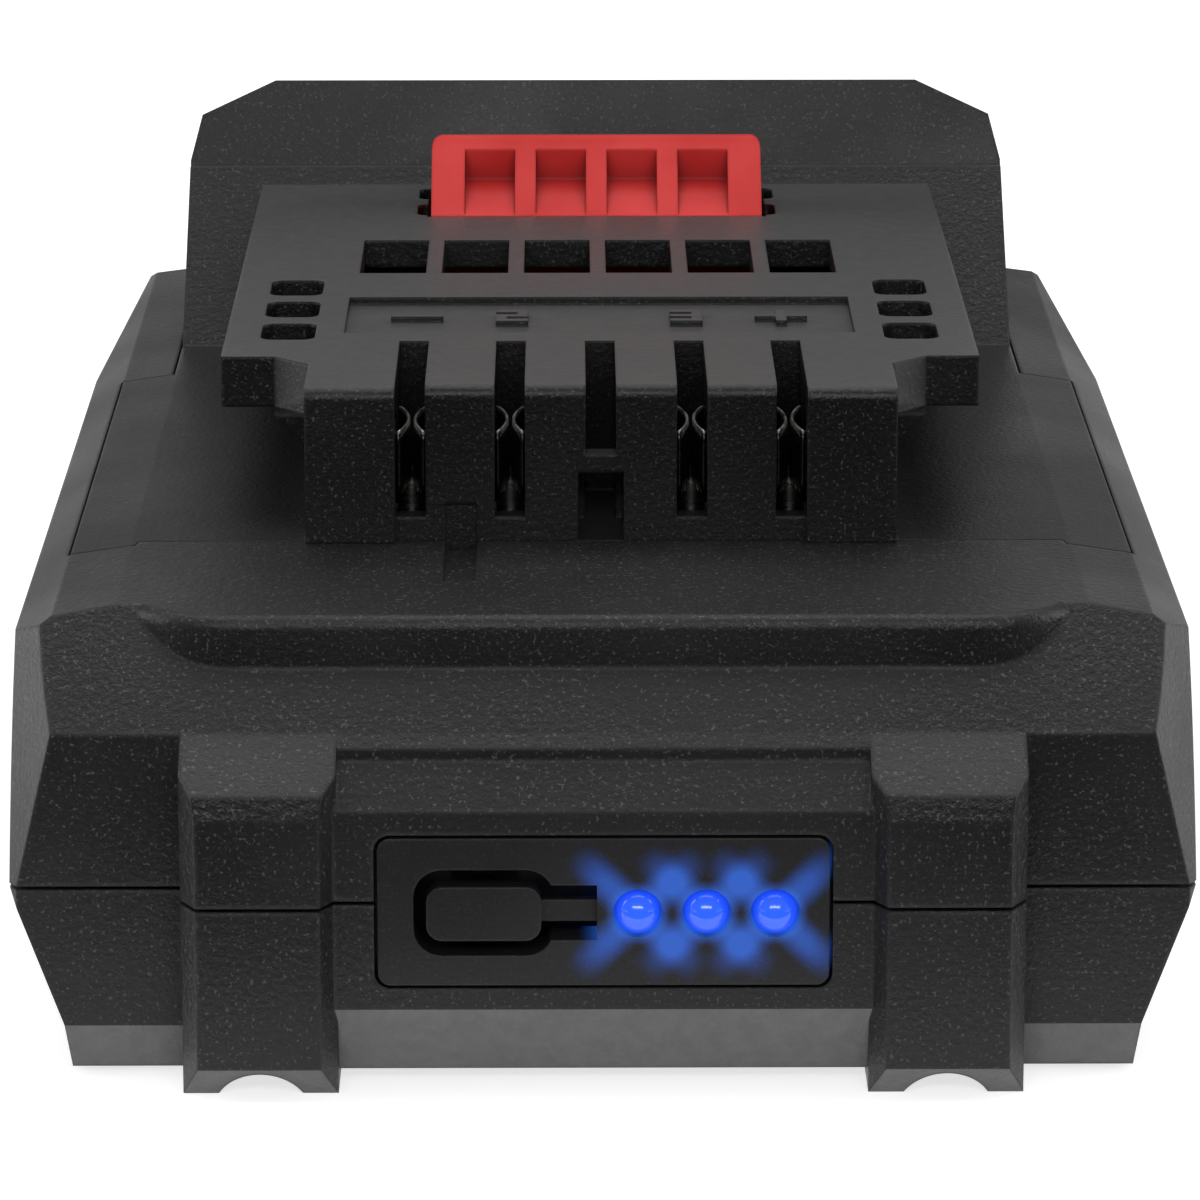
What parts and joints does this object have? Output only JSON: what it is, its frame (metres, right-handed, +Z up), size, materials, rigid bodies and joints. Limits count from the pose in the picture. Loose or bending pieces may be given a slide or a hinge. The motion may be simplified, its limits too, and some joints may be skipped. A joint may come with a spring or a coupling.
{
  "type": "slide-in battery pack",
  "caption": "Slide-in battery pack for cordless tools with a guide rail plate, spring contacts, a sprung red latch and a lit charge gauge.",
  "frame": {"origin": "middle of the footprint, on the plane that the feet rest on", "axes": "+X to the right seen from the gauge end, +Y from the gauge end to the thumb button, +Z up towards the rail plate"},
  "size_m": [0.075, 0.119, 0.0472],
  "materials": {
    "housing_plastic": "spark-eroded matt",
    "cover_plastic": "spark-eroded matt",
    "panel_plastic": "fine matt",
    "latch_plastic": "satin",
    "lens_plastic": "frosted",
    "frame_plastic": "matt",
    "white_plastic": "matt",
    "cell_sleeve": "shrink sleeve",
    "insulator_paper": "paper",
    "foam": "closed-cell foam",
    "strap_metal": "nickel plated",
    "contact_metal": "tin plated",
    "spring_steel": "bright wire",
    "screw_steel": "black oxide",
    "circuit_board": "solder mask",
    "chip_plastic": "moulded",
    "led_plastic": "moulded",
    "ribbon_film": "film"
  },
  "bodies": {
    "pack_body": {"lower_housing": "housing_plastic", "upper_housing": "housing_plastic", "top_cover": "cover_plastic", "latch_bracket": "frame_plastic", "latch_spring_left": "spring_steel", "latch_spring_right": "spring_steel", "cell_1": "cell_sleeve", "cell_2": "cell_sleeve", "cell_3": "cell_sleeve", "cell_4": "cell_sleeve", "cell_5": "cell_sleeve", "cell_insulators": "insulator_paper", "foam_sheet": "foam", "cell_frame_left": "frame_plastic", "cell_frame_right": "frame_plastic", "cell_strap_1": "strap_metal", "cell_strap_2": "strap_metal", "cell_strap_3": "strap_metal", "cell_strap_4": "strap_metal", "cell_strap_5": "strap_metal", "cell_strap_6": "strap_metal", "control_board": "circuit_board", "board_parts": "chip_plastic", "contact_carrier": "white_plastic", "contact_minus": "contact_metal", "contact_temperature": "contact_metal", "contact_code": "contact_metal", "contact_plus": "contact_metal", "temperature_sensor": "chip_plastic", "frame_screws": "screw_steel", "housing_screws": "screw_steel", "gauge_panel": "panel_plastic", "gauge_lens_1": "lens_plastic", "gauge_lens_2": "lens_plastic", "gauge_lens_3": "lens_plastic", "gauge_board": "circuit_board", "gauge_lights": "led_plastic", "gauge_switch": "white_plastic", "gauge_ribbon": "ribbon_film"},
    "latch": {"latch_slider": "latch_plastic"},
    "button": {"gauge_button": "panel_plastic"},
    "plunger": {"switch_plunger": "white_plastic"}
  },
  "joints": [
    {"name": "latch_press", "type": "slide", "parent": "pack_body", "child": "latch", "axis": [0, 0, -1], "range_m": [0, 0.005], "stiffness_N_per_m": 1200, "deforming": ["latch_spring_left", "latch_spring_right"]},
    {"name": "gauge_button_flex", "type": "hinge", "parent": "pack_body", "child": "button", "pos_m": [-0.0004, -0.05705, 0.01195], "axis": [0, 0, -1], "range_deg": [0, 4.5], "stiffness_Nm_per_rad": 0.2},
    {"name": "switch_press", "type": "slide", "parent": "pack_body", "child": "plunger", "axis": [0, 1, 0], "range_m": [0, 0.00035]}
  ],
  "couplings": [
    {"joint": "switch_press", "follows": "gauge_button_flex", "m_per_rad": 0.00445}
  ]
}
